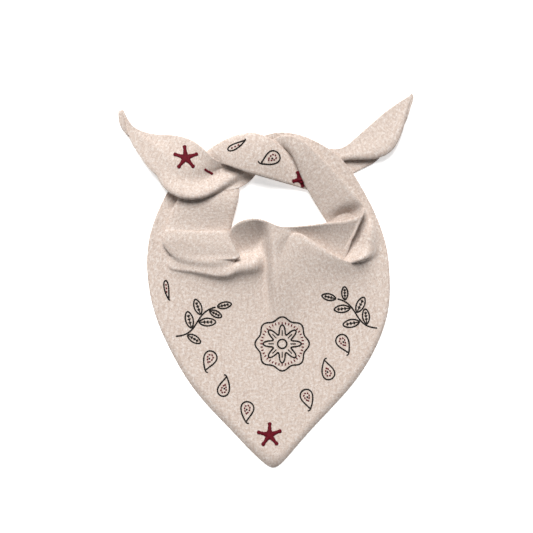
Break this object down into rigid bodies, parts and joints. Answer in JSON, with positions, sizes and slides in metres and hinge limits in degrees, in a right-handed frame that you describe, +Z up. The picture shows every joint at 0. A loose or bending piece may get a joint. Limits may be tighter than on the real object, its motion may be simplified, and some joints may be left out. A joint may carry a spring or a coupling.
{
  "type": "neckerchief",
  "caption": "Knitted triangular neckerchief tied in a half knot and laid flat, with embroidered stars, paisleys, a round medallion and leafy sprays; worn round the neck",
  "frame": {"origin": "the middle of the lying neckerchief's outline, on the floor it rests on", "axes": "+Z up off the floor, +Y from the bottom tip of the bib towards the knot, +X to the right as seen from above with the knot at the top"},
  "size_m": [0.3246, 0.4112, 0.0235],
  "materials": {
    "knit": "fine knit, heathered beige, matt and slightly fuzzy",
    "red_thread": "satin stitch embroidery, soft sheen",
    "black_thread": "outline stitch embroidery, soft sheen"
  },
  "bodies": {
    "root": {"knit_cloth": "knit", "star_at_bottom_tip": "red_thread", "star_by_right_band": "red_thread", "star_on_left_tail": "red_thread", "paisley_knot_left": "black_thread", "paisley_knot_right": "black_thread", "paisley_left_high": "black_thread", "paisley_left_low": "black_thread", "paisley_left_side": "black_thread", "paisley_left_tip": "black_thread", "paisley_right_high": "black_thread", "paisley_right_low": "black_thread", "paisley_right_middle": "black_thread", "medallion_heart": "black_thread", "medallion_petals": "black_thread", "medallion_rim": "black_thread", "spray_left_leaf_1": "black_thread", "spray_left_leaf_2": "black_thread", "spray_left_leaf_3": "black_thread", "spray_left_leaf_4": "black_thread", "spray_left_leaf_5": "black_thread", "spray_left_leaf_6": "black_thread", "spray_left_stem": "black_thread", "spray_right_leaf_1": "black_thread", "spray_right_leaf_2": "black_thread", "spray_right_leaf_3": "black_thread", "spray_right_leaf_4": "black_thread", "spray_right_leaf_5": "black_thread", "spray_right_leaf_6": "black_thread", "spray_right_stem": "black_thread"}
  },
  "joints": []
}
